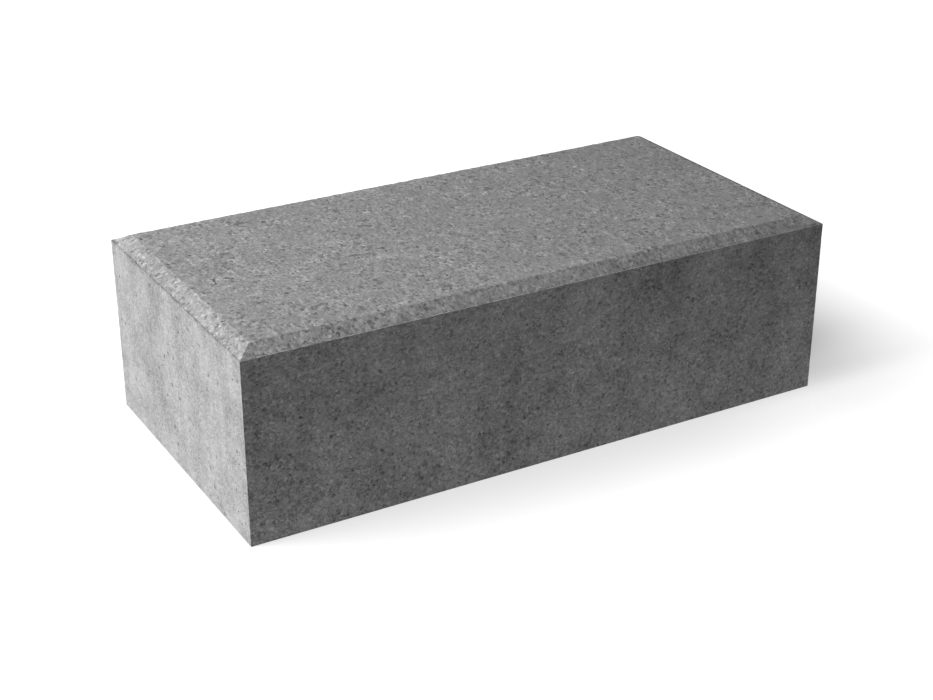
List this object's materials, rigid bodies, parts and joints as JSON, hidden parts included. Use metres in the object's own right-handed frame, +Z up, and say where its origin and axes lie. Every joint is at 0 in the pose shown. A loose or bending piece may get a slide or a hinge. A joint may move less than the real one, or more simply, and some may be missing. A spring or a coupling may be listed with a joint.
{
  "type": "paving stone",
  "caption": "Rectangular concrete paving stone, pressed in one piece, with a flat bed, straight joint sides and a mitred bevel with a narrow rim round its wearing face.",
  "frame": {"origin": "centre of the bed, the flat face that the stone lies on", "axes": "+X along the stone's length, +Y across its width, +Z up to the wearing face"},
  "size_m": [0.2, 0.1, 0.06],
  "materials": {
    "concrete": "dry-pressed fine grey concrete, matt and sandy, with small pits"
  },
  "bodies": {
    "root": {"paving_stone": "concrete"}
  },
  "joints": []
}
